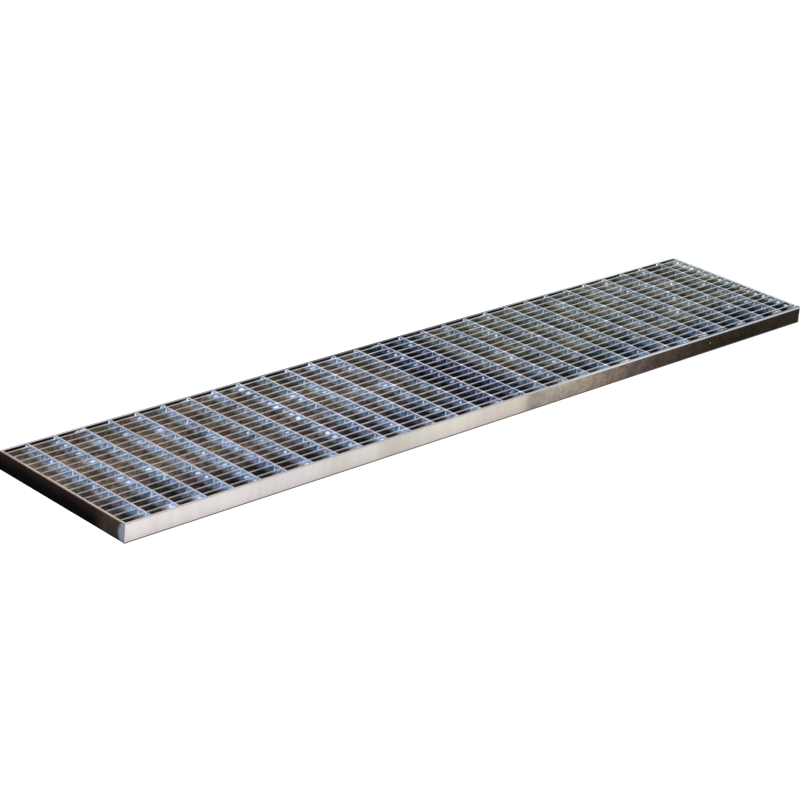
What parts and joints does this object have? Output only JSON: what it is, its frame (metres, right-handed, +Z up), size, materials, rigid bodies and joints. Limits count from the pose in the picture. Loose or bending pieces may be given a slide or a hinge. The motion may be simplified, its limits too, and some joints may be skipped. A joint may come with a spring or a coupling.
{
  "type": "drain grate",
  "caption": "Long narrow press-locked bar grating with a welded flat-bar frame, hot-dip galvanised, that covers a drainage channel.",
  "frame": {"origin": "middle of the grate at the level of its underside", "axes": "+X along the channel, +Y across it to the rear, +Z up to the walking surface"},
  "size_m": [0.9982, 0.197, 0.02],
  "materials": {
    "galvanised_frame_bar": "hot-dip galvanised flat bar, semi-bright with soft zinc clouds",
    "galvanised_bearing_bar": "hot-dip galvanised strip, semi-bright",
    "galvanised_cross_bar": "hot-dip galvanised strip, semi-bright",
    "galvanised_weld": "hot-dip galvanised weld metal, lumpy and brighter"
  },
  "bodies": {
    "root": {"bearing_bar_01": "galvanised_bearing_bar", "bearing_bar_02": "galvanised_bearing_bar", "bearing_bar_03": "galvanised_bearing_bar", "bearing_bar_04": "galvanised_bearing_bar", "bearing_bar_05": "galvanised_bearing_bar", "bearing_bar_06": "galvanised_bearing_bar", "bearing_bar_07": "galvanised_bearing_bar", "bearing_bar_08": "galvanised_bearing_bar", "bearing_bar_09": "galvanised_bearing_bar", "bearing_bar_10": "galvanised_bearing_bar", "bearing_bar_11": "galvanised_bearing_bar", "bearing_bar_12": "galvanised_bearing_bar", "bearing_bar_13": "galvanised_bearing_bar", "bearing_bar_14": "galvanised_bearing_bar", "bearing_bar_15": "galvanised_bearing_bar", "bearing_bar_16": "galvanised_bearing_bar", "bearing_bar_17": "galvanised_bearing_bar", "bearing_bar_18": "galvanised_bearing_bar", "bearing_bar_19": "galvanised_bearing_bar", "bearing_bar_20": "galvanised_bearing_bar", "bearing_bar_21": "galvanised_bearing_bar", "bearing_bar_22": "galvanised_bearing_bar", "bearing_bar_23": "galvanised_bearing_bar", "bearing_bar_24": "galvanised_bearing_bar", "bearing_bar_25": "galvanised_bearing_bar", "bearing_bar_26": "galvanised_bearing_bar", "bearing_bar_27": "galvanised_bearing_bar", "bearing_bar_28": "galvanised_bearing_bar", "bearing_bar_29": "galvanised_bearing_bar", "cross_bar_01": "galvanised_cross_bar", "cross_bar_02": "galvanised_cross_bar", "cross_bar_03": "galvanised_cross_bar", "cross_bar_04": "galvanised_cross_bar", "cross_bar_05": "galvanised_cross_bar", "cross_bar_06": "galvanised_cross_bar", "cross_bar_07": "galvanised_cross_bar", "cross_bar_08": "galvanised_cross_bar", "cross_bar_09": "galvanised_cross_bar", "cross_bar_10": "galvanised_cross_bar", "cross_bar_11": "galvanised_cross_bar", "cross_bar_12": "galvanised_cross_bar", "cross_bar_13": "galvanised_cross_bar", "cross_bar_14": "galvanised_cross_bar", "cross_bar_15": "galvanised_cross_bar", "cross_bar_16": "galvanised_cross_bar", "cross_bar_17": "galvanised_cross_bar", "front_side_bar": "galvanised_frame_bar", "rear_side_bar": "galvanised_frame_bar", "left_end_bar": "galvanised_frame_bar", "right_end_bar": "galvanised_frame_bar", "front_bar_welds": "galvanised_weld", "rear_bar_welds": "galvanised_weld", "left_bar_tacks": "galvanised_weld", "right_bar_tacks": "galvanised_weld", "corner_welds": "galvanised_weld"}
  },
  "joints": []
}
